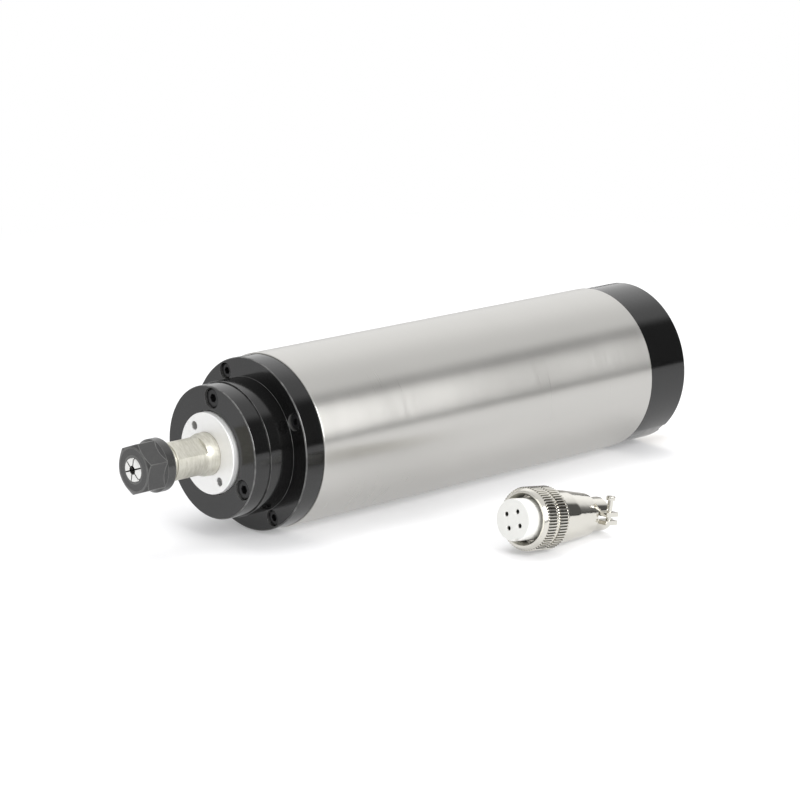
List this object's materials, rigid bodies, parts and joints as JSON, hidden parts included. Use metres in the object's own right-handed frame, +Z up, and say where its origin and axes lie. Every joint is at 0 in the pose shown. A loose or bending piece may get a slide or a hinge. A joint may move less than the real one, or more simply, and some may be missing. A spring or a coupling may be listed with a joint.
{
  "type": "motor spindle",
  "caption": "Round water-cooled milling spindle with a spring collet and clamping nut on its shaft, flanged black nose, steel body tube, rear cable socket and hose tails, and a loose cable plug",
  "frame": {"origin": "on the spindle's axis, in the middle of the steel body tube where a clamp grips it", "axes": "+X along the spindle's axis from the collet to the rear cap, +Z up with the spindle lying on its side, +Y away from the loose plug"},
  "size_m": [0.2707, 0.1339, 0.065],
  "materials": {
    "stainless_tube": "fine brushed stainless steel",
    "black_anodised": "satin black anodised aluminium",
    "bare_aluminium": "machined",
    "black_rubber": "matte",
    "black_screws": "black oxide",
    "bearing_steel": "ground",
    "lamination": "stamped sheet stack",
    "copper": "enamelled copper wire",
    "lead_insulation": "silicone sleeve",
    "nickel_plate": "polished nickel plate",
    "white_insulator": "smooth",
    "silver_contact": "silver plated",
    "brass_tail": "machined brass, nickel plated",
    "ground_steel": "ground steel",
    "bright_disc": "bright turned",
    "bright_collet": "ground spring steel",
    "black_oxide": "black oxide, satin"
  },
  "bodies": {
    "housing": {"body_tube": "stainless_tube", "water_jacket": "bare_aluminium", "jacket_seals": "black_rubber", "front_flange": "black_anodised", "flange_screws": "black_screws", "front_cover": "black_anodised", "cover_screws": "black_screws", "front_bearing_outer_rings": "bearing_steel", "stator_core": "lamination", "stator_windings": "copper", "phase_leads": "lead_insulation", "rear_bearing_housing": "bare_aluminium", "rear_bearing_outer_ring": "bearing_steel", "preload_spring": "bearing_steel", "rear_cap": "black_anodised", "cap_screws": "black_screws", "socket_shell": "nickel_plate", "socket_insulator": "white_insulator", "socket_pins": "silver_contact", "socket_screws": "black_screws", "hose_tails": "brass_tail"},
    "rotor": {"spindle_shaft": "ground_steel", "slinger_nut": "bright_disc", "front_bearing_inner_rings": "bearing_steel", "front_bearing_balls": "bearing_steel", "front_bearing_cages": "bearing_steel", "rotor_core": "lamination", "rotor_cage": "bare_aluminium", "rear_bearing_inner_ring": "bearing_steel", "rear_bearing_balls": "bearing_steel", "rear_bearing_cage": "bearing_steel", "rear_locknut": "bearing_steel"},
    "collet": {"collet": "bright_collet"},
    "collet_nut": {"collet_nut": "black_oxide"},
    "plug": {"plug_insulator": "white_insulator", "plug_contacts": "silver_contact", "plug_core": "nickel_plate", "plug_back_shell": "nickel_plate", "plug_strap": "nickel_plate", "plug_clamp_screws": "nickel_plate"},
    "plug_coupling": {"plug_ring": "nickel_plate", "plug_ring_clip": "bearing_steel"}
  },
  "joints": [
    {"name": "shaft_spin", "type": "hinge", "parent": "housing", "child": "rotor", "pos_m": [0, 0, 0], "axis": [1, 0, 0], "continuous": true},
    {"name": "collet_draw", "type": "slide", "parent": "rotor", "child": "collet", "axis": [-1, 0, 0], "range_m": [0, 0.00675]},
    {"name": "nut_turn", "type": "hinge", "parent": "collet", "child": "collet_nut", "pos_m": [-0.1476, 0, 0], "axis": [-1, 0, 0], "range_deg": [0, 3240]},
    {"name": "plug_lift", "type": "slide", "parent": "housing", "child": "plug", "axis": [0, 0, 1], "range_m": [0, 0.06]},
    {"name": "ring_turn", "type": "hinge", "parent": "plug", "child": "plug_coupling", "pos_m": [-0.03791, -0.08956, -0.02019], "axis": [0.9838, 0.0809, -0.1599], "continuous": true}
  ],
  "couplings": [
    {"joint": "nut_turn", "follows": "collet_draw", "rad_per_m": 8377.6}
  ]
}
